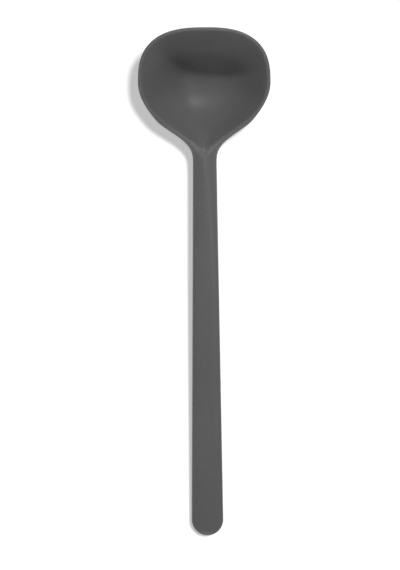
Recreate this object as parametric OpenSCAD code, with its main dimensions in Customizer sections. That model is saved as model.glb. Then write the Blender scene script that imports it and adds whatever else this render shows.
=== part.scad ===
// Ladle: silicone moulded in two shots over a stiff bowl core and a flat steel bar.
// It lies on the flat under its bowl and on the end of its handle, bowl opening upwards.
// Millimetres. Length along Y with the bowl's front edge at +Y, Z up.
// The origin is on the table under the bowl's widest line, inside the foot.

/* [Overall] */
// Length from the bowl's front edge to the handle's end
overall_l = 300; // [270:1:340]
// Width of the bowl across its widest line
bowl_w = 78; // [70:0.5:86]
// Reach of the bowl's front edge ahead of the widest line
bowl_front = 31.6; // [28:0.1:36]
// Inside depth of the bowl below its rim at the widest line
bowl_depth = 32; // [28:0.1:35]
// Thickness from the inside floor to the round underside at the widest line
floor_t = 4.8; // [4.2:0.1:6]
// Height of the round underside that the flat foot takes off
foot_trim = 1.4; // [1:0.1:1.8]
// Angle at which the rim rises towards the front
rim_lean = 15; // [12:0.5:16]

/* [Outline] */
// Fullness of the front half of the bowl's outline
front_power = 2.65; // [2.2:0.01:2.9]
// Half length of the curve that draws the bowl behind its widest line
back_reach = 68.3; // [64:0.1:74]
// Steepness of that curve towards the neck
back_power = 2.86; // [2.5:0.02:3.2]
// Distance behind the widest line where the bowl begins to turn into the neck
blend_l = 22; // [19:0.1:26]
// Distance behind the widest line where the plain handle begins
neck_l = 47.4; // [45:0.1:52]
// Width of the handle at the neck
neck_w = 14.2; // [12.5:0.1:16]
// Width of the handle at its round end
end_w = 19; // [16:0.1:22]

/* [Rim] */
// Radius of the rim's outer edge
rim_r = 1.4; // [1:0.1:1.8]
// Width over which the rim rounds into the bowl
rim_lip = 1.5; // [1:0.1:2.5]
// Width over which the two rims round into the valley at the neck
neck_lip = 7; // [4:0.1:9]
// Distance behind the widest line where the rims begin to swell towards the neck
arm_l = 8; // [5:0.5:14]
// Fullness of the rim's outer edge
rim_power = 2; // [1.8:0.05:2.6]
// Distance behind the widest line where the two rims meet
valley_l = 45; // [43:0.1:47]
// Length ahead of that place over which the two rims part
valley_run = 20; // [17:0.5:23]
// Half distance of the two rims at the end of that length
valley_open = 22; // [19:0.5:25]
// Steepness with which they part
valley_power = 1.15; // [1.05:0.05:1.35]
// Half distance of the two rims below which the valley between them runs out
valley_fade = 10; // [7:0.5:12]

/* [Hollow] */
// Fullness of the bowl's wall at its sides
side_power = 2.5; // [2.1:0.05:2.7]
// Fullness of the bowl's wall at its front
front_wall = 2.7; // [2.4:0.05:3]
// Distance behind the widest line where the hollow ends
hollow_l = 41; // [38:0.5:43]
// Flatness of the hollow's floor along the ladle
hollow_power = 2.6; // [2.3:0.05:2.9]
// Softness with which the floor runs out towards the neck
hollow_fade = 1.8; // [1.5:0.05:2]
// Distance by which the bowl reaches further back underneath
root_l = 6; // [5:0.5:8]

/* [Handle] */
// Height of the parting line over the table at the neck
neck_z = 18.6; // [16:0.1:20]
// Height of the handle's face above the parting line
face_h = 5.5; // [5:0.1:6.5]
// Depth of the handle's back below the parting line
back_h = 6.1; // [5.5:0.1:6.5]
// Height that the flat under the handle's end takes off
end_trim = 0.3; // [0.1:0.05:0.5]
// Fullness of the handle's section at the neck
neck_power = 1.6; // [1.5:0.05:2.2]
// Fullness of the handle's section at its end
end_power = 3.8; // [3:0.1:4.2]
// Length behind the neck over which the section fills out
fill_l = 90; // [50:1:140]

/* [Core] */
// Share of the wall's thickness that the stiff core takes
core_share = 0.44; // [0.3:0.01:0.5]
// Width of silicone round the core's edge
core_edge = 1.8; // [1.5:0.1:2.1]
// Distance behind the widest line where the core's neck socket ends
socket_l = 66; // [62:1:76]
// Width of the steel bar
bar_w = 8; // [7:0.1:9]
// Thickness of the steel bar
bar_t = 2; // [1.5:0.1:2.5]
// Width of the bar's tang in the neck socket
tang_w = 5.6; // [5:0.1:6]
// Reach of the tang ahead of the place where the plain handle begins
tang_reach = 5; // [3:0.5:7]
// Gap between the bar's end and the handle's end
bar_end_gap = 15; // [12:1:24]
// Diameter of the holes that the silicone fills to lock the bar
lock_d = 4; // [3:0.1:5]
// Number of lock holes
lock_n = 4; // [2:1:6]

/* [Hidden] */
front_n = 16;
back_n = 18;
socket_n = 3;
handle_n = 11;
tip_n = 8;
lock_fn = 40;
shoulder_steps = [0, 0.06, 0.2, 0.5, 1];
inner_steps = [0.1, 0.22, 0.36, 0.51, 0.67, 0.84];
ground_t = 10;
valley_soft = 3;
crest_soft = 3;
under_soft = 6;
shoulder_run = 6;
socket_taper = 3;
bar_gap = 2;
tang_lap = 1;
rim_h = bowl_depth + floor_t - foot_trim;
end_y = bowl_front - overall_l + end_w / 2;
end_z = back_h - end_trim;
handle_l = -end_y - neck_l;
handle_rise = (neck_z - end_z) / handle_l;
bar_y = -socket_l - socket_taper - bar_gap;
tang_l = tang_reach - neck_l - bar_y;
bar_l = bar_y - (bowl_front - overall_l + bar_end_gap);

function lerp(a, b, t) = a + (b - a) * t;
function clamp(t) = min(1, max(0, t));
function smooth(t) = let (u = clamp(t)) u * u * (3 - 2 * u);
function soft_min(a, b, k) = let (h = max(k - abs(a - b), 0) / k) min(a, b) - h * h * k / 4;
function soft_max(a, b, k) = -soft_min(-a, -b, k);
function quarter(t, m) = pow(max(0, 1 - pow(1 - t, m)), 1 / m);
function ease(t, k) = t <= 0 ? 0 : t < k ? t * t / (2 * k) : t - k / 2;

// Half width of the outline behind the widest line
function handle_half(y) = lerp(neck_w, end_w, clamp((-y - neck_l) / handle_l)) / 2;
function bowl_half(y) = bowl_w / 2 * pow(max(0, 1 - pow(y / back_reach, 2)), back_power);
function neck_turn(y) = smooth((-y - blend_l) / (neck_l - blend_l));
function half_w(y) = lerp(bowl_half(y), handle_half(y), neck_turn(y));

// Half distance between the two rim crests, nothing where they have met
function rim_spread(y) = valley_open * pow(max(0, y + valley_l) / valley_run, valley_power);
function valley_half(y) = max(0, soft_min(half_w(y) - rim_r, rim_spread(y), valley_soft));

// Side view: crest line, parting line, floor and underside on the centre plane
function handle_mid(y) = neck_z + (y + neck_l) * handle_rise;
function ridge_z(y) = handle_mid(y) + face_h;
function crest_z(y) = soft_max(rim_h + y * tan(rim_lean), ridge_z(y), crest_soft);
function arm_turn(y, run) = smooth((-y - arm_l) / (neck_l + run - arm_l));
function shoulder_h(y) = lerp(rim_r, face_h, arm_turn(y, shoulder_run));
function part_z(y) = crest_z(y) - shoulder_h(y);
function hollow(y, reach) = pow(max(0, 1 - pow(abs(y) / reach, hollow_power)), hollow_fade);
function sink(y, low, reach) = lerp(ridge_z(y), low, hollow(y, reach));
function floor_z(y) =
    let (depth = smooth(valley_half(y) / valley_fade))
    lerp(crest_z(y), sink(y, rim_h - bowl_depth, hollow_l), depth);
function under_z(y) =
    soft_min(sink(y, -foot_trim, hollow_l + root_l), handle_mid(y) - back_h, under_soft);
function section_power(y) =
    let (near = lerp(rim_power, neck_power, neck_turn(y)))
    lerp(near, end_power, smooth((-y - neck_l) / fill_l));

// Rays from the outline to the centre line: [edge point, centre point]
function front_edge(a) =
    [bowl_w / 2 * pow(cos(a), 2 / front_power), bowl_front * pow(sin(a), 2 / front_power)];
function tip_edge(a) = [end_w / 2 * cos(a), end_y - end_w / 2 * sin(a)];
stations = concat(
    [for (i = [0:back_n - 1]) -neck_l * i / back_n],
    [for (i = [0:socket_n]) lerp(-neck_l, -socket_l, i / socket_n)],
    [for (i = [0:handle_n]) lerp(-socket_l - socket_taper, end_y, i / handle_n)]
);
station_n = len(stations);
right = concat(
    [for (i = [0:front_n - 1]) [front_edge(90 - 90 * i / front_n), [0, 0]]],
    [for (y = stations) [[half_w(y), y], [0, y]]],
    [for (i = [1:tip_n]) [tip_edge(90 * i / tip_n), [0, end_y]]]
);
side_n = len(right) - 1;
loop_n = 2 * side_n;
left = [for (i = [side_n - 1:-1:1]) [[-right[i][0].x, right[i][0].y], right[i][1]]];
rays = concat(right, left);

// Ring of points at each step from the outline inwards, then the points on the centre line
ring_n = len(shoulder_steps) + 2 + len(inner_steps);
function ray_l(r) = norm(r[0] - r[1]);
function crest_d(r) = r[0].y > 0 ? rim_r : ray_l(r) - valley_half(r[1].y);
function lip_d(r) =
    min(lerp(rim_lip, neck_lip, arm_turn(r[1].y, 0)), 0.7 * (ray_l(r) - crest_d(r)));
function ring_d(r, k) =
    let (c = min(crest_d(r), 0.6 * ray_l(r)))
    let (w = min(rim_lip, 0.15 * ray_l(r)))
    let (s = len(shoulder_steps))
    k < s ? c * shoulder_steps[k] :
    k < s + 2 ? c + w * (k - s + 1) / 2 :
    lerp(c + w, ray_l(r), inner_steps[k - s - 2]);

// Grid entries: [x, y, distance from the outline, ray]
function entry(r, d) = let (p = lerp(r[0], r[1], d / ray_l(r))) [p.x, p.y, d, r];
grid = concat(
    [for (k = [0:ring_n - 1]) for (r = rays) entry(r, ring_d(r, k))],
    [for (i = [front_n:front_n + station_n - 1]) entry(right[i], ray_l(right[i]))]
);
point_n = len(grid);

// Heights of the visible top and underside
function wall_power(g) = lerp(side_power, front_wall, clamp(g[3][0].y / bowl_front));
function shoulder_z(g) =
    let (t = clamp(g[2] / crest_d(g[3])))
    part_z(g.y) + shoulder_h(g.y) * quarter(t, section_power(g.y));
function inside_z(g) =
    let (c = crest_d(g[3]))
    let (w = lip_d(g[3]))
    let (q = clamp(ease(g[2] - c, w) / (ray_l(g[3]) - c - w / 2)))
    let (wall = lerp(1 - pow(1 - q, wall_power(g)), smooth(q), neck_turn(g[3][1].y)))
    lerp(crest_z(lerp(g[3][0].y, g[3][1].y, c / ray_l(g[3]))), floor_z(g[3][1].y), wall);
function top_z(g) = g[2] <= crest_d(g[3]) ? shoulder_z(g) : inside_z(g);
function under_d(g) =
    let (v = clamp(g[2] / ray_l(g[3])))
    lerp(1 - pow(1 - v, wall_power(g)), quarter(v, section_power(g.y)), neck_turn(g.y));
function bottom_z(g) = lerp(part_z(g[3][0].y), under_z(g[3][1].y), under_d(g));

top = [for (g = grid) top_z(g)];
bottom = [for (g = grid) bottom_z(g)];

// Parting surface between the two shots, level with the bar's middle in the handle,
// and the core spread evenly about it
function seat_z(g) = lerp(part_z(g.y), handle_mid(g.y), clamp(g[2] / core_edge));
function handle_share(y) = smooth((-y - 0.75 * neck_l) / (0.35 * neck_l));
half_t = [for (i = [0:point_n - 1]) (top[i] - max(0, bottom[i])) / 2];
parting = [for (i = [0:point_n - 1])
    lerp(top[i] - half_t[i], seat_z(grid[i]), handle_share(grid[i].y))];
core_half = [for (i = [0:point_n - 1])
    grid[i][2] >= core_edge && grid[i].y > -socket_l - socket_taper / 2 ? core_share * half_t[i] : 0];
core_top = parting + core_half;
core_bottom = parting - core_half;

// Triangles over the grid, turned clockwise from above
function centre_at(s) =
    let (i = s <= side_n ? s : loop_n - s)
    ring_n * loop_n + min(station_n - 1, max(0, i - front_n));
function at(k, s) = let (j = s % loop_n) k < ring_n ? k * loop_n + j : centre_at(j);
function cell(a, b, c, d, s) =
    c == d ? [[a, b, c]] : s < side_n ? [[a, b, c], [a, c, d]] : [[a, b, d], [b, c, d]];
triangles = [for (k = [0:ring_n - 1]) for (s = [0:loop_n - 1])
    each cell(at(k, s), at(k, s + 1), at(k + 1, s + 1), at(k + 1, s), s)];

// Solid between two sheets of heights over the grid, closed where the sheets meet
module layer(low, high) {
    thick = [for (i = [0:point_n - 1]) high[i] - low[i] > 0.0001];
    used = [for (t = triangles) if (thick[t[0]] || thick[t[1]] || thick[t[2]]) t];
    lower = [for (i = [0:point_n - 1]) thick[i] ? point_n + i : i];
    polyhedron(
        points = concat(
            [for (i = [0:point_n - 1]) [grid[i].x, grid[i].y, high[i]]],
            [for (i = [0:point_n - 1]) [grid[i].x, grid[i].y, low[i]]]
        ),
        faces = concat(used, [for (t = used) [lower[t[2]], lower[t[1]], lower[t[0]]]]),
        convexity = 6
    );
}

// Flat bar along the handle with a narrower tang and a row of lock holes
module bar() {
    translate([0, bar_y, handle_mid(bar_y)])
        rotate([atan(handle_rise), 0, 0])
            linear_extrude(height = bar_t, center = true)
                difference() {
                    union() {
                        translate([-bar_w / 2, -bar_l]) square([bar_w, bar_l]);
                        translate([-tang_w / 2, -tang_lap]) square([tang_w, tang_l + tang_lap]);
                    }
                    for (i = [0:lock_n - 1])
                        translate([0, -bar_l * (i + 0.5) / lock_n]) circle(d = lock_d, $fn = lock_fn);
                }
}

// Everything below the table
module ground() {
    translate([-bowl_w, -overall_l, -ground_t]) cube([2 * bowl_w, 2 * overall_l, ground_t]);
}

// Upper silicone shot: bowl lining, rim and handle face
module silicone_face() {
    color("#4b4e50")
        difference() {
            layer(core_top, top);
            bar();
        }
}

// Lower silicone shot: bowl outside, foot and handle back
module silicone_back() {
    color("#46494b")
        difference() {
            layer(bottom, core_bottom);
            bar();
            ground();
        }
}

// Stiff cup inside the bowl's wall with a socket round the bar's tang
module bowl_core() {
    color("#2b2d2f")
        difference() {
            layer(core_bottom, core_top);
            bar();
        }
}

// Steel bar that stiffens the handle
module handle_spine() {
    color("#b4b8bb") bar();
}

silicone_face();
silicone_back();
bowl_core();
handle_spine();
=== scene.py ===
import math

import bpy
import numpy as np
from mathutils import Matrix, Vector


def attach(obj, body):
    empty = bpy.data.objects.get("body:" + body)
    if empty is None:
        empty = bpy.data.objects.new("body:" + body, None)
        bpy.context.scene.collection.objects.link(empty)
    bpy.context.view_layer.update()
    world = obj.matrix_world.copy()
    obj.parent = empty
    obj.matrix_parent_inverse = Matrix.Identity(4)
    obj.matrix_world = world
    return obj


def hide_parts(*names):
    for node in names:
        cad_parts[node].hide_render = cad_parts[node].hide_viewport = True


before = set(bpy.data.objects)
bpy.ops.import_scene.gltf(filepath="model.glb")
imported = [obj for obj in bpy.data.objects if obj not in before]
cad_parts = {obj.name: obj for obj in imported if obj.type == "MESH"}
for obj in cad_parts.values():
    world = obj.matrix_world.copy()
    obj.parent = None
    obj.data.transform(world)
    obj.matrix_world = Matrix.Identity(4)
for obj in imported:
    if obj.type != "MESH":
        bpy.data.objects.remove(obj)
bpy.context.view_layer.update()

# Sizes of the ladle in millimetres and the rim's lean in degrees, lengths along Y counted from the
# bowl's widest line. Down to the bar they have the names and values of the part's source.
MM = 0.001
OVERALL_L = 300.0
BOWL_W = 78.0
BOWL_FRONT = 31.6
BOWL_DEPTH = 32.0
FLOOR_T = 4.8
FOOT_TRIM = 1.4
RIM_LEAN = 15.0

# Outline
FRONT_POWER = 2.65
BACK_REACH = 68.3
BACK_POWER = 2.86
BLEND_L = 22.0
NECK_L = 47.4
NECK_W = 14.2
END_W = 19.0

# Rim
RIM_R = 1.4
RIM_LIP = 1.5
NECK_LIP = 7.0
ARM_L = 8.0
RIM_POWER = 2.0
VALLEY_L = 45.0
VALLEY_RUN = 20.0
VALLEY_OPEN = 22.0
VALLEY_POWER = 1.15
VALLEY_FADE = 10.0

# Hollow
SIDE_POWER = 2.5
FRONT_WALL = 2.7
HOLLOW_L = 41.0
HOLLOW_POWER = 2.6
HOLLOW_FADE = 1.8
ROOT_L = 6.0

# Handle
NECK_Z = 18.6
FACE_H = 5.5
BACK_H = 6.1
END_TRIM = 0.3
NECK_POWER = 1.6
END_POWER = 3.8
FILL_L = 90.0

# Core and bar
CORE_SHARE = 0.44
CORE_EDGE = 1.8
SOCKET_L = 66.0
BAR_W = 8.0
BAR_T = 2.0

# Room that the silicone leaves round the bar, its end counted from the centre of the handle's round end
BAR_SIDE_GAP = 0.4
BAR_FACE_GAP = 0.05
BAR_ROOM_END = 5.0

# Roundings where two curves meet
VALLEY_SOFT = 3.0
CREST_SOFT = 3.0
UNDER_SOFT = 6.0
FOOT_SOFT = 0.5
SHOULDER_RUN = 6.0

# Limits of the rim's rings and rounding, as shares of a ray's length or of its rest behind the crest
CREST_LIMIT = 0.6
LIP_LIMIT = 0.15
ROUND_LIMIT = 0.7

# Where the parting moves onto the bar's middle: start and run as shares of NECK_L
SEAT_FROM = 0.75
SEAT_RUN = 0.35

# Moulding line between the two shots
LINE_D = 0.07
LINE_W = 0.35

# Painted highlight along the crests of the two arms, where they run into the neck
PAINTED_HIGHLIGHT_W = 1.3
PAINTED_HIGHLIGHT_IN = 0.9
PAINTED_HIGHLIGHT_FROM = 22.0
PAINTED_HIGHLIGHT_RISE = 16.0
PAINTED_HIGHLIGHT_TO = 62.0
PAINTED_HIGHLIGHT_FALL = 16.0

# Grid, finer than the source's: counts of rays round the front, behind it, along the handle and round
# its end, and the place where the two runs of rays along Y meet
FRONT_N = 72
BACK_N = 104
HANDLE_N = 96
TIP_N = 34
SPLIT_Y = -62.0
TINY = 1e-9

RIM_H = BOWL_DEPTH + FLOOR_T - FOOT_TRIM
RIM_SLOPE = math.tan(math.radians(RIM_LEAN))
END_Y = BOWL_FRONT - OVERALL_L + END_W / 2
HANDLE_L = -END_Y - NECK_L
HANDLE_RISE = (NECK_Z - (BACK_H - END_TRIM)) / HANDLE_L


def lerp(a, b, t):
    return a + (b - a) * t


def clamp(t):
    return np.clip(t, 0.0, 1.0)


def smooth(t):
    u = clamp(t)
    return u * u * (3 - 2 * u)


def soft_min(a, b, k):
    h = np.maximum(k - np.abs(a - b), 0) / k
    return np.minimum(a, b) - h * h * k / 4


def soft_max(a, b, k):
    return -soft_min(-a, -b, k)


def quarter(t, m):
    return np.maximum(0, 1 - (1 - t) ** m) ** (1 / m)


def ease(t, k):
    k = np.maximum(k, TINY)
    return np.where(t <= 0, 0, np.where(t < k, t * t / (2 * k), t - k / 2))


# Half width of the outline behind the widest line
def handle_half(y):
    return lerp(NECK_W, END_W, clamp((-y - NECK_L) / HANDLE_L)) / 2


def neck_turn(y):
    return smooth((-y - BLEND_L) / (NECK_L - BLEND_L))


def half_w(y):
    bowl = BOWL_W / 2 * np.maximum(0, 1 - (y / BACK_REACH) ** 2) ** BACK_POWER
    return lerp(bowl, handle_half(y), neck_turn(y))


# Half distance between the two crests, which part ahead of the place where they meet
def rim_spread(y):
    return VALLEY_OPEN * (np.maximum(0, y + VALLEY_L) / VALLEY_RUN) ** VALLEY_POWER


def valley_half(y):
    return np.maximum(0, soft_min(half_w(y) - RIM_R, rim_spread(y), VALLEY_SOFT))


# Side view: crest line, parting line, floor and underside on the centre plane
def handle_mid(y):
    return NECK_Z + (y + NECK_L) * HANDLE_RISE


def ridge_z(y):
    return handle_mid(y) + FACE_H


def crest_z(y):
    return soft_max(RIM_H + y * RIM_SLOPE, ridge_z(y), CREST_SOFT)


def arm_turn(y, run):
    return smooth((-y - ARM_L) / (NECK_L + run - ARM_L))


def shoulder_h(y):
    return lerp(RIM_R, FACE_H, arm_turn(y, SHOULDER_RUN))


def part_z(y):
    return crest_z(y) - shoulder_h(y)


def hollow(y, reach):
    return np.maximum(0, 1 - np.abs(y / reach) ** HOLLOW_POWER) ** HOLLOW_FADE


def sink(y, low, reach):
    return lerp(ridge_z(y), low, hollow(y, reach))


def floor_z(y):
    depth = smooth(valley_half(y) / VALLEY_FADE)
    return lerp(crest_z(y), sink(y, RIM_H - BOWL_DEPTH, HOLLOW_L), depth)


def under_z(y):
    return soft_min(sink(y, -FOOT_TRIM, HOLLOW_L + ROOT_L), handle_mid(y) - BACK_H, UNDER_SOFT)


def section_power(y):
    near = lerp(RIM_POWER, NECK_POWER, neck_turn(y))
    return lerp(near, END_POWER, smooth((-y - NECK_L) / FILL_L))


def side_rays():
    """Outline points of the right side, front edge to handle end, and their centre line places."""
    a = np.radians(90 - 90 * np.arange(FRONT_N) / FRONT_N)
    front_x = BOWL_W / 2 * np.cos(a).clip(0) ** (2 / FRONT_POWER)
    front_x[0] = 0
    front_y = BOWL_FRONT * np.sin(a) ** (2 / FRONT_POWER)
    near = np.linspace(0, SPLIT_Y, BACK_N, endpoint=False)
    far = np.linspace(SPLIT_Y, END_Y, HANDLE_N + 1)
    y = np.concatenate([near, far])
    b = np.radians(90 * np.arange(1, TIP_N + 1) / TIP_N)
    tip_x = END_W / 2 * np.cos(b)
    tip_x[-1] = 0
    tip_y = END_Y - END_W / 2 * np.sin(b)
    edge_x = np.concatenate([front_x, half_w(y), tip_x])
    edge_y = np.concatenate([front_y, y, tip_y])
    mid = np.concatenate([np.zeros(FRONT_N), y, np.full(TIP_N, END_Y)])
    return np.stack([edge_x, edge_y], axis=1), mid


class Sheet:
    """Grid of plan positions over the whole outline, ring by ring and then along the centre line."""

    def __init__(self, shoulder, lip, inner):
        edge, mid = side_rays()
        self.side = len(edge) - 1
        self.loop = 2 * self.side
        self.stations = len(edge) - FRONT_N - TIP_N
        left = edge[-2:0:-1] * np.array([-1.0, 1.0])
        edge = np.concatenate([edge, left])
        mid = np.concatenate([mid, mid[-2:0:-1]])
        centre = np.stack([np.zeros_like(mid), mid], axis=1)
        length = np.linalg.norm(edge - centre, axis=1)
        crest = np.where(edge[:, 1] > 0, RIM_R, length - valley_half(mid))
        c = np.minimum(crest, CREST_LIMIT * length)
        w = np.minimum(RIM_LIP, LIP_LIMIT * length)
        steps = [c * t for t in shoulder]
        steps += [c + w * t for t in lip]
        steps += [lerp(c + w, length, t) for t in inner]
        self.rings = len(steps)
        centre_run = np.arange(FRONT_N, FRONT_N + self.stations)
        d = np.concatenate(steps + [length[centre_run]])
        pick = np.concatenate([np.tile(np.arange(self.loop), self.rings), centre_run])
        self.d = d
        self.length = length[pick]
        self.crest = crest[pick]
        self.cy = mid[pick]
        self.ey = edge[pick, 1]
        plan = edge[pick] + (centre[pick] - edge[pick]) * (d / self.length)[:, None]
        self.x = plan[:, 0]
        self.y = plan[:, 1]
        # Painted highlight: the crests of the two arms are painted a little lighter where they run into
        # the neck, where highlights fall.
        arms = smooth((-self.cy - PAINTED_HIGHLIGHT_FROM) / PAINTED_HIGHLIGHT_RISE) * smooth((self.cy + PAINTED_HIGHLIGHT_TO) / PAINTED_HIGHLIGHT_FALL)
        self.painted_highlight = arms * np.exp(-(((d - self.crest - PAINTED_HIGHLIGHT_IN) / PAINTED_HIGHLIGHT_W) ** 2))
        # Fine moulding line where the two shots meet: the edge draws in by a few hundredths.
        pull = LINE_D * clamp(1 - d / LINE_W) ** 2 / self.length
        self.px = self.x * (1 - pull)
        self.py = self.y + (self.cy - self.y) * pull

    def top_bottom(self):
        """Heights of the visible top and underside."""
        y, d, cy = self.y, self.d, self.cy
        w = np.minimum(lerp(RIM_LIP, NECK_LIP, arm_turn(cy, 0)), ROUND_LIMIT * (self.length - self.crest))
        room = np.maximum(self.length - self.crest - w / 2, TINY)
        q = np.where(d <= self.crest, 0, ease(d - self.crest, w) / room)
        power = lerp(SIDE_POWER, FRONT_WALL, clamp(self.ey / BOWL_FRONT))
        section = section_power(y)
        shoulder = part_z(y) + shoulder_h(y) * quarter(clamp(d / self.crest), section)
        wall = lerp(1 - (1 - clamp(q)) ** power, smooth(q), neck_turn(cy))
        crest_y = lerp(self.ey, cy, self.crest / self.length)
        inside = lerp(crest_z(crest_y), floor_z(cy), wall)
        v = clamp(d / self.length)
        under = lerp(1 - (1 - v) ** power, quarter(v, section), neck_turn(y))
        top = np.where(d <= self.crest, shoulder, inside)
        bottom = soft_max(lerp(part_z(self.ey), under_z(cy), under), 0.0, FOOT_SOFT)
        return top, bottom

    def core_sides(self):
        """Heights of the hidden sides of the two shots, over and under the core and the bar."""
        y, d = self.y, self.d
        top, bottom = self.top_bottom()
        half = (top - bottom) / 2
        seat = lerp(part_z(y), handle_mid(y), clamp(d / CORE_EDGE))
        parting = lerp(top - half, seat, smooth((-y - SEAT_FROM * NECK_L) / (SEAT_RUN * NECK_L)))
        core = np.where((d >= CORE_EDGE) & (y > -SOCKET_L), CORE_SHARE * half, 0)
        beside = np.abs(self.x) < BAR_W / 2 + BAR_SIDE_GAP
        along = (y <= -SOCKET_L) & (y > END_Y + BAR_ROOM_END)
        core = np.where(beside & along, BAR_T / 2 + BAR_FACE_GAP, core)
        return parting + core, parting - core

    def at(self, k, s):
        s = s % self.loop
        if k < self.rings:
            return k * self.loop + s
        i = s if s <= self.side else self.loop - s
        return self.rings * self.loop + min(self.stations - 1, max(0, i - FRONT_N))

    def faces(self):
        out = []
        for k in range(self.rings):
            for s in range(self.loop):
                q = [self.at(k, s), self.at(k, s + 1), self.at(k + 1, s + 1), self.at(k + 1, s)]
                out.append(q[:3] if q[2] == q[3] else q)
        return out


fine = Sheet(
    shoulder=[(i / 10) ** 2 for i in range(11)],
    lip=[0.17, 0.34, 0.51, 0.68, 0.84, 1.0],
    inner=[0.04, 0.08, 0.13, 0.18, 0.24, 0.30, 0.37, 0.44, 0.51, 0.58, 0.65, 0.72, 0.79, 0.86, 0.93],
)
plain = Sheet(shoulder=[0.0, 0.3, 1.0], lip=[0.5, 1.0], inner=[0.2, 0.4, 0.6, 0.8])


def solid(name, outer_z, inner_z, outer_up):
    """Closed mesh: a fine outer sheet and a plainer inner one that share the edge ring."""
    outer_points = np.stack([fine.px, fine.py, outer_z], axis=1)
    inner_points = np.stack([plain.px, plain.py, inner_z], axis=1)
    points = np.concatenate([outer_points, inner_points]) * MM

    def inner_index(i):
        return i if i < plain.loop else len(outer_points) + i

    outer = fine.faces()
    inner = [[inner_index(i) for i in f] for f in plain.faces()]
    # The loop runs clockwise seen from above, so the faces that look up are turned.
    if outer_up:
        faces = [f[::-1] for f in outer] + inner
    else:
        faces = outer + [f[::-1] for f in inner]
    used = np.zeros(len(points), bool)
    for f in faces:
        used[f] = True
    index = np.cumsum(used) - 1
    mesh = bpy.data.meshes.new(name)
    mesh.from_pydata(points[used].tolist(), [], [[int(index[i]) for i in f] for f in faces])
    mesh.validate()
    if outer_up:
        # Strength of the painted highlight on the arms' crests, for the face's material.
        painted_highlight = np.concatenate([fine.painted_highlight, np.zeros(len(plain.painted_highlight))])[used]
        mesh.attributes.new("painted_highlight", "FLOAT", "POINT").data.foreach_set("value", painted_highlight)
    mesh.polygons.foreach_set("use_smooth", [True] * len(mesh.polygons))
    for e in mesh.edges:
        e.use_edge_sharp = max(e.vertices) < fine.loop
    mesh.update()
    obj = bpy.data.objects.new(name, mesh)
    bpy.context.collection.objects.link(obj)
    return obj


top, bottom = fine.top_bottom()
core_top, core_bottom = plain.core_sides()
face = solid("ladle_face", top, core_top, True)
back = solid("ladle_back", bottom, core_bottom, False)


class Nodes:
    """Small helper that adds and wires shader nodes."""

    def __init__(self, tree):
        tree.nodes.clear()
        self.tree = tree

    def add(self, kind, **values):
        n = self.tree.nodes.new(kind)
        for k, v in values.items():
            setattr(n, k, v)
        return n

    def link(self, a, b):
        self.tree.links.new(a, b)

    def value(self, socket, v):
        if isinstance(v, bpy.types.NodeSocket):
            self.link(v, socket)
        else:
            socket.default_value = v

    def math(self, op, a, b=0.0, c=0.0, clamped=False):
        n = self.add("ShaderNodeMath", operation=op, use_clamp=clamped)
        for s, v in zip(n.inputs, (a, b, c)):
            self.value(s, v)
        return n.outputs[0]

    def ramp(self, v, low, high, to_low=0.0, to_high=1.0):
        n = self.add("ShaderNodeMapRange", clamp=True, interpolation_type="SMOOTHSTEP")
        for s, x in zip(n.inputs, (v, low, high, to_low, to_high)):
            self.value(s, x)
        return n.outputs[0]

    def noise(self, where, scale, detail=2.0, rough=0.5):
        n = self.add("ShaderNodeTexNoise")
        self.link(where, n.inputs["Vector"])
        n.inputs["Scale"].default_value = scale
        n.inputs["Detail"].default_value = detail
        n.inputs["Roughness"].default_value = rough
        return n.outputs[0]

    def mix(self, f, a, b):
        n = self.add("ShaderNodeMix", data_type="RGBA")
        self.value(n.inputs[0], f)
        self.value(n.inputs[6], a)
        self.value(n.inputs[7], b)
        return n.outputs[2]

    def bump(self, height, strength, distance, normal=None):
        n = self.add("ShaderNodeBump")
        n.inputs["Strength"].default_value = strength
        n.inputs["Distance"].default_value = distance
        self.link(height, n.inputs["Height"])
        if normal is not None:
            self.link(normal, n.inputs["Normal"])
        return n.outputs[0]

    def any_ray(self, *kinds):
        """1 where the light path is one of these kinds."""
        rays = self.add("ShaderNodeLightPath").outputs
        found = rays[kinds[0]]
        for kind in kinds[1:]:
            found = self.math("MAXIMUM", found, rays[kind])
        return found


def new_material(name):
    mat = bpy.data.materials.new(name)
    mat.use_nodes = True
    return mat, Nodes(mat.node_tree)


def new_surface(name):
    """Material with one principled shader, and object coordinates for its textures."""
    mat, g = new_material(name)
    bsdf = g.add("ShaderNodeBsdfPrincipled")
    g.link(bsdf.outputs[0], g.add("ShaderNodeOutputMaterial").inputs[0])
    where = g.add("ShaderNodeTexCoord").outputs["Object"]
    return mat, g, bsdf, where


SILICONE_DARK = (0.086, 0.0865, 0.087, 1)
SILICONE_LIGHT = (0.0955, 0.096, 0.0965, 1)
SILICONE_MOTTLE = (0.112, 0.1125, 0.113, 1)
# The next colour is the painted highlight on the arms' crests.
SILICONE_PAINTED_HIGHLIGHT = (0.14, 0.1405, 0.141, 1)
DUST = (0.36, 0.36, 0.36, 1)
NYLON_DARK = (0.024, 0.024, 0.026, 1)
NYLON_LIGHT = (0.05, 0.05, 0.052, 1)
STEEL_DARK = (0.45, 0.455, 0.46, 1)
STEEL_LIGHT = (0.66, 0.665, 0.67, 1)
FACE_OFFSET = (0.0, 0.0, 0.0)
BACK_OFFSET = (0.31, 0.17, 0.05)


def dust_specks(g, at):
    """Strength of a few small specks: round dots in one cell of ten."""
    cells = g.add("ShaderNodeTexVoronoi", voronoi_dimensions="3D", feature="F1")
    g.link(at, cells.inputs["Vector"])
    cells.inputs["Scale"].default_value = 150.0
    dot = g.ramp(cells.outputs["Distance"], 0.02, 0.055, to_low=1.0, to_high=0.0)
    draw = g.add("ShaderNodeSeparateColor")
    g.link(cells.outputs["Color"], draw.inputs[0])
    chosen = g.math("GREATER_THAN", draw.outputs[0], 0.9)
    return g.math("MULTIPLY", g.math("MULTIPLY", dot, chosen), 0.45)


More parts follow.
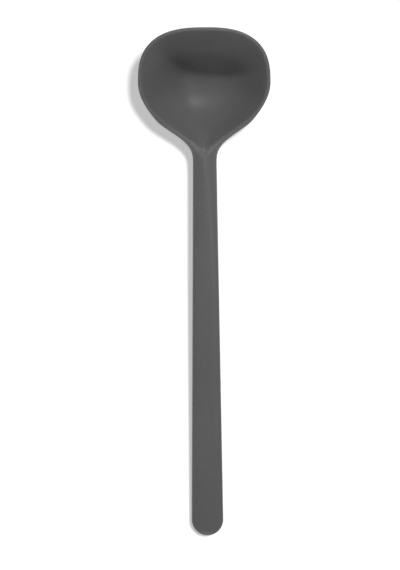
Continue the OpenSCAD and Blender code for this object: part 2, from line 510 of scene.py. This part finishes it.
def silicone(name, offset):
    mat, g, bsdf, where = new_surface(name)
    move = g.add("ShaderNodeVectorMath", operation="ADD")
    g.link(where, move.inputs[0])
    move.inputs[1].default_value = offset
    at = move.outputs[0]
    # Tone: slow drift over the moulding, a fine mottle, a few dust specks and a painted highlight on the
    # arms' crests.
    drift = g.noise(at, scale=16.0)
    mottle = g.noise(at, scale=620.0, detail=3.0, rough=0.6)
    tone = g.mix(g.ramp(drift, 0.3, 0.7), SILICONE_DARK, SILICONE_LIGHT)
    tone = g.mix(g.math("MULTIPLY", g.ramp(mottle, 0.35, 0.75), 0.32), tone, SILICONE_MOTTLE)
    tone = g.mix(dust_specks(g, at), tone, DUST)
    # Painted highlight: the arms' crests are lightened, patchily, where highlights fall.
    painted_highlight = g.add("ShaderNodeAttribute", attribute_name="painted_highlight").outputs["Fac"]
    patchy = g.ramp(mottle, 0.25, 0.6, to_low=0.32, to_high=0.62)
    tone = g.mix(g.math("MULTIPLY", painted_highlight, patchy), tone, SILICONE_PAINTED_HIGHLIGHT)
    g.link(tone, bsdf.inputs["Base Color"])
    # Finish: satin, a little smoother where it has been handled, rougher in the mottle.
    worn = g.ramp(g.noise(at, scale=42.0, detail=3.0, rough=0.55), 0.42, 0.68)
    rough = g.math("MULTIPLY_ADD", worn, -0.05, 0.42)
    rough = g.math("MULTIPLY_ADD", mottle, 0.08, rough)
    g.link(rough, bsdf.inputs["Roughness"])
    bsdf.inputs["IOR"].default_value = 1.42
    bsdf.inputs["Specular IOR Level"].default_value = 0.25
    bsdf.inputs["Sheen Weight"].default_value = 0.1
    bsdf.inputs["Sheen Roughness"].default_value = 0.45
    # Surface: eroded mould texture over a very slight waviness.
    wave = g.bump(g.noise(at, scale=85.0, detail=1.0), strength=0.35, distance=0.12 * MM)
    grain = g.bump(g.noise(at, scale=2300.0), strength=0.22, distance=0.06 * MM, normal=wave)
    g.link(grain, bsdf.inputs["Normal"])
    return mat


def nylon():
    mat, g, bsdf, where = new_surface("core_nylon_look")
    fibre = g.noise(where, scale=900.0, detail=4.0, rough=0.65)
    g.link(g.mix(g.ramp(fibre, 0.4, 0.75), NYLON_DARK, NYLON_LIGHT), bsdf.inputs["Base Color"])
    g.link(g.math("MULTIPLY_ADD", fibre, 0.2, 0.42), bsdf.inputs["Roughness"])
    g.link(g.bump(fibre, strength=0.3, distance=0.08 * MM), bsdf.inputs["Normal"])
    return mat


def steel():
    mat, g, bsdf, where = new_surface("spine_steel_look")
    # Brush marks: noise drawn out along the bar
    stretch = g.add("ShaderNodeMapping")
    g.link(where, stretch.inputs["Vector"])
    stretch.inputs["Scale"].default_value = (2600.0, 30.0, 2600.0)
    brush = g.noise(stretch.outputs[0], scale=1.0, detail=3.0, rough=0.6)
    g.link(g.mix(brush, STEEL_DARK, STEEL_LIGHT), bsdf.inputs["Base Color"])
    bsdf.inputs["Metallic"].default_value = 1.0
    g.link(g.math("MULTIPLY_ADD", brush, 0.2, 0.24), bsdf.inputs["Roughness"])
    return mat


face.data.materials.append(silicone("silicone_face_look", FACE_OFFSET))
back.data.materials.append(silicone("silicone_back_look", BACK_OFFSET))
for node, mat in (("bowl_core", nylon()), ("handle_spine", steel())):
    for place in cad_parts[node].material_slots:
        place.material = mat

for piece, node in ((face, "silicone_face"), (back, "silicone_back")):
    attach(piece, "root")
    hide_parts(node)

# Floor: pale and diffuse, lifted to white where the camera sees it, so that only the close shadow shows.
FLOOR_HALF = 6.0
FLOOR_DROP = 0.1 * MM
FLOOR_TONE = (0.88, 0.88, 0.88, 1)
FLOOR_LIFT = 0.45


def floor_look():
    mat, g = new_material("floor_look")
    diffuse = g.add("ShaderNodeBsdfDiffuse")
    diffuse.inputs["Color"].default_value = FLOOR_TONE
    lift = g.add("ShaderNodeEmission")
    seen = g.any_ray("Is Camera Ray", "Is Glossy Ray", "Is Transmission Ray")
    g.link(g.math("MULTIPLY", seen, FLOOR_LIFT), lift.inputs["Strength"])
    both = g.add("ShaderNodeAddShader")
    g.link(diffuse.outputs[0], both.inputs[0])
    g.link(lift.outputs[0], both.inputs[1])
    g.link(both.outputs[0], g.add("ShaderNodeOutputMaterial").inputs[0])
    return mat


corners = [(x * FLOOR_HALF, y * FLOOR_HALF, 0) for x, y in ((-1, -1), (1, -1), (1, 1), (-1, 1))]
floor_mesh = bpy.data.meshes.new("floor")
floor_mesh.from_pydata(corners, [], [(0, 1, 2, 3)])
floor_mesh.materials.append(floor_look())
floor = bpy.data.objects.new("floor", floor_mesh)
floor.location.z = -FLOOR_DROP
bpy.context.collection.objects.link(floor)

# World: soft fill that is stronger near the horizon, white behind the floor's edge.
HORIZON = 0.28


def studio_world():
    world = bpy.data.worlds.new("studio")
    world.use_nodes = True
    g = Nodes(world.node_tree)
    light = g.add("ShaderNodeBackground")
    light.inputs["Color"].default_value = (1, 1, 1, 1)
    way = g.add("ShaderNodeSeparateXYZ")
    g.link(g.add("ShaderNodeTexCoord").outputs["Generated"], way.inputs[0])
    low = g.math("SUBTRACT", 1.0, way.outputs["Z"], clamped=True)
    level = g.add("ShaderNodeMix", data_type="FLOAT")
    g.link(g.any_ray("Is Camera Ray", "Is Transmission Ray"), level.inputs[0])
    g.link(g.math("MULTIPLY", low, HORIZON), level.inputs[2])
    level.inputs[3].default_value = 1.0
    g.link(level.outputs[0], light.inputs["Strength"])
    g.link(light.outputs[0], g.add("ShaderNodeOutputWorld").inputs[0])
    return world


bpy.context.scene.world = studio_world()

# Lamps: the floor has one of its own, so that its shadow stays short while the key shades the bowl.
LAMP_AIM = Vector((0, -0.055, 0.02))
floor_only = bpy.data.collections.new("floor_only")
floor_only.objects.link(floor)
not_floor = bpy.data.collections.new("not_floor")
not_floor.objects.link(floor)
not_floor.collection_objects[0].light_linking.link_state = "EXCLUDE"


def lamp(name, azimuth, zenith, distance, rise, width, level, lit):
    """Oval area lamp, placed in degrees and metres; at level 1 it would show flat white as white."""
    data = bpy.data.lights.new(name, "AREA")
    data.shape = "ELLIPSE"
    data.size = rise
    data.size_y = width
    a, z = math.radians(azimuth), math.radians(zenith)
    way = Vector((math.sin(z) * math.cos(a), math.sin(z) * math.sin(a), math.cos(z)))
    data.energy = level * math.pi * math.pi * distance * distance / math.cos(z)
    obj = bpy.data.objects.new(name, data)
    obj.location = LAMP_AIM + way * distance
    obj.rotation_euler = (0, z, a)
    obj.light_linking.receiver_collection = lit
    bpy.context.collection.objects.link(obj)


lamp("key", 65.1, 36.1, 0.88, 0.05, 0.22, 0.465, not_floor)
lamp("front_left", 128, 33, 1.1, 0.7, 0.8, 0.22, not_floor)
lamp("right", 0, 29, 0.8, 0.07, 0.1, 0.14, not_floor)
lamp("left_fill", 172, 60, 4.0, 1.0, 1.4, 0.05, not_floor)
lamp("back_left_fill", 236, 56, 4.0, 1.0, 1.4, 0.055, not_floor)
lamp("back_fill", 268, 73, 6.0, 2.4, 3.6, 0.125, not_floor)
lamp("right_fill", 20, 62, 4.0, 1.0, 1.6, 0.07, not_floor)
lamp("floor_lamp", 35, 12.5, 4.0, 0.5, 0.5, 0.66, floor_only)

# Camera straight above, at the photograph's framing.
CAMERA_AT = (-0.0034, -0.1189, 1.6)
CAMERA_TURN = -0.0077
SENSOR_H = 36.0
PHOTO_H = 570
PIXELS_PER_M = 1668.2
cam = bpy.data.cameras.new("camera")
cam.sensor_fit = "VERTICAL"
cam.sensor_height = SENSOR_H
cam.lens = SENSOR_H * CAMERA_AT[2] * PIXELS_PER_M / PHOTO_H
camera = bpy.data.objects.new("camera", cam)
camera.location = CAMERA_AT
camera.rotation_euler = (0, 0, CAMERA_TURN)
bpy.context.collection.objects.link(camera)
bpy.context.scene.camera = camera
bpy.context.scene.view_settings.view_transform = "Standard"

bpy.context.view_layer.update()
